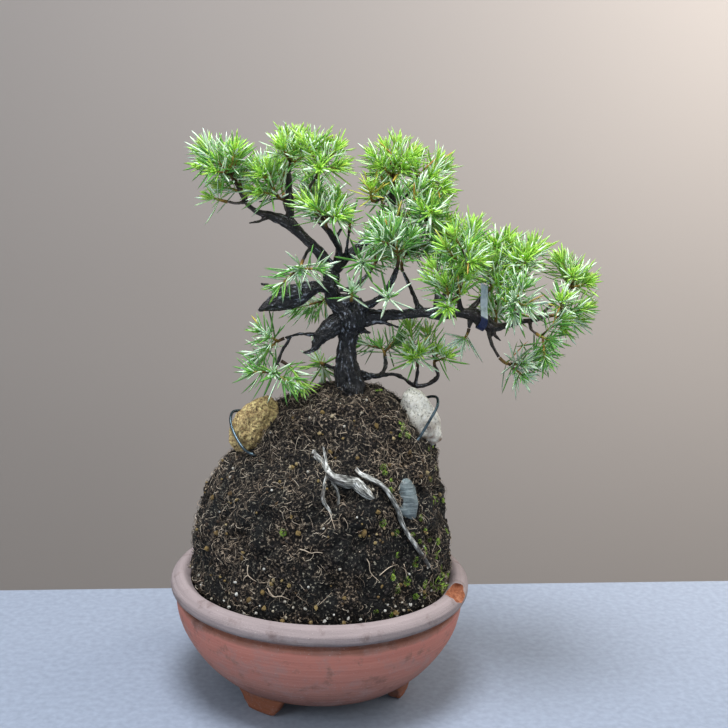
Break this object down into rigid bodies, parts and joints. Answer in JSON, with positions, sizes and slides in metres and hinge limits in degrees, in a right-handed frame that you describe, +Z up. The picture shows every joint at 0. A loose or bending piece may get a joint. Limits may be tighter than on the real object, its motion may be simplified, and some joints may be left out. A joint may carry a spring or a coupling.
{
  "type": "root over rock bonsai",
  "caption": "Small needle conifer on a tall soil mound with surface roots, an exposed rock face and wired stones, in a round footed clay bowl.",
  "frame": {"origin": "middle of the whole object's bounding box, on the surface that the pot's feet stand on", "axes": "+Z up along the pot's axis; -Y towards the picture's viewer, the side with the surface roots and the rock face; +X towards the long right-hand limb"},
  "size_m": [0.2354, 0.17, 0.3216],
  "materials": {
    "terracotta": "unglazed red-brown clay, matt, with a dusty collar",
    "drain_net": "dark mesh",
    "soil_and_rootlets": "damp dark soil bound with fine rootlets",
    "grey_rock": "blue-grey, faintly striated",
    "tan_stone": "golden tan, grainy",
    "pale_stone": "pale grey-beige, speckled",
    "dark_wire": "dark anodised",
    "bark": "black, fissured, slightly shiny",
    "label": "white strip with a blue end, bare",
    "needles": "green needles with a pale blue-green band"
  },
  "bodies": {
    "root": {"drain_net": "drain_net", "label": "label", "pot": "terracotta", "rock": "grey_rock", "soil_mound": "soil_and_rootlets", "spray_back": "needles", "spray_back_left": "needles", "spray_base_left": "needles", "spray_burl": "needles", "spray_crown_back": "needles", "spray_crown_middle": "needles", "spray_end_back": "needles", "spray_end_low": "needles", "spray_end_star": "needles", "spray_end_tip": "needles", "spray_end_top": "needles", "spray_end_up": "needles", "spray_far_left_low": "needles", "spray_far_left_side": "needles", "spray_far_left_top": "needles", "spray_far_right_front": "needles", "spray_far_right_top": "needles", "spray_hanging": "needles", "spray_inner_front": "needles", "spray_inner_star": "needles", "spray_inner_top": "needles", "spray_left_back": "needles", "spray_left_inner": "needles", "spray_left_leader": "needles", "spray_left_right": "needles", "spray_left_under": "needles", "spray_low_back": "needles", "spray_low_left": "needles", "spray_low_left_end": "needles", "spray_low_left_inner": "needles", "spray_low_right": "needles", "spray_low_right_inner": "needles", "spray_middle": "needles", "spray_middle_front": "needles", "spray_right_back": "needles", "spray_right_front": "needles", "spray_right_low_front": "needles", "spray_right_top": "needles", "spray_right_under": "needles", "spray_star": "needles", "spray_top": "needles", "spray_top_back": "needles", "spray_top_left": "needles", "spray_top_right": "needles", "spray_upright": "needles", "stone_left": "tan_stone", "stone_right": "pale_stone", "tree": "bark", "wire_left": "dark_wire", "wire_right": "dark_wire"}
  },
  "joints": []
}
